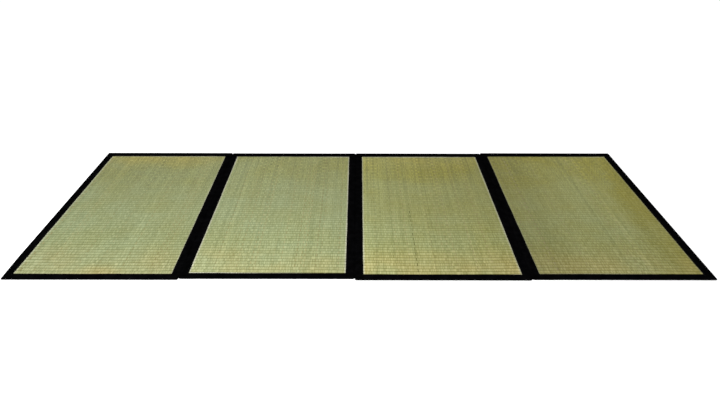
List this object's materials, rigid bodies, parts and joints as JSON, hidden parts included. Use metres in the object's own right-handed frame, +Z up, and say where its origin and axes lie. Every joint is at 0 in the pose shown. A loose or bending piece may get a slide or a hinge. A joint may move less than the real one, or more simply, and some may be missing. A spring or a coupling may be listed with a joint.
{
  "type": "folding tatami mat",
  "caption": "Thin folding floor mat of woven rush panels laid flat side by side, each bound in plain black cloth and joined by cloth hinges, for sitting or sleeping on.",
  "frame": {"origin": "centre of the mat's footprint, on the floor", "axes": "+X along the mat, across its panels; +Y from the front edge to the back edge, along the rush stalks; +Z up"},
  "size_m": [2, 0.9, 0.005],
  "materials": {
    "rush": "dry woven rush, straw green with straw yellow ends, satin",
    "black_cloth": "plain woven black cotton, matt"
  },
  "bodies": {
    "root": {"rush_panel_1": "rush", "rush_panel_2": "rush", "rush_panel_3": "rush", "rush_panel_4": "rush", "binding_1_front": "black_cloth", "binding_1_right": "black_cloth", "binding_1_back": "black_cloth", "binding_1_left": "black_cloth", "binding_2_front": "black_cloth", "binding_2_right": "black_cloth", "binding_2_back": "black_cloth", "binding_2_left": "black_cloth", "binding_3_front": "black_cloth", "binding_3_right": "black_cloth", "binding_3_back": "black_cloth", "binding_3_left": "black_cloth", "binding_4_front": "black_cloth", "binding_4_right": "black_cloth", "binding_4_back": "black_cloth", "binding_4_left": "black_cloth", "hinge_1": "black_cloth", "hinge_2": "black_cloth", "hinge_3": "black_cloth"}
  },
  "joints": []
}
